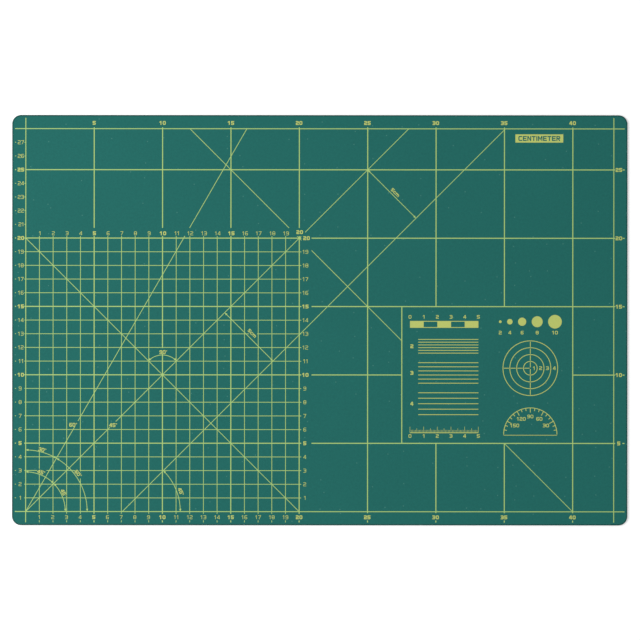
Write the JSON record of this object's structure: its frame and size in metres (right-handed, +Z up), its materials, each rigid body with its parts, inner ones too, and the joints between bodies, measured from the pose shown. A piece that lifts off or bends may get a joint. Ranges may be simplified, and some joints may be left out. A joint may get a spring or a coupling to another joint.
{
  "type": "cutting mat",
  "caption": "Flexible self-healing craft cutting mat: a thin rounded sheet with a printed centimetre grid, angle lines, edge scales and a framed panel.",
  "frame": {"origin": "middle of the underside, on the surface that the mat lies on", "axes": "+X along the length with the numbers reading upright from -Y, +Y away from the reader, +Z up out of the printed face"},
  "size_m": [0.45, 0.3, 0.0016],
  "materials": {
    "soft_ply": "matte dark green soft vinyl with a very fine grain",
    "hard_ply": "matte dark green hard vinyl, seen only at the cut edge",
    "ink": "matte pale yellow screen print"
  },
  "bodies": {
    "root": {"bottom_ply": "soft_ply", "core_ply": "hard_ply", "top_ply": "soft_ply", "border_lines": "ink", "panel_frame": "ink", "bold_square_lines": "ink", "open_field_lines": "ink", "fine_square_lines": "ink", "steep_ray": "ink", "zero_ray": "ink", "spacing_ray": "ink", "square_diagonal": "ink", "open_diagonal": "ink", "angle_arcs": "ink", "spacing_bars": "ink", "edge_ticks": "ink", "unit_plate": "ink"}
  },
  "joints": []
}
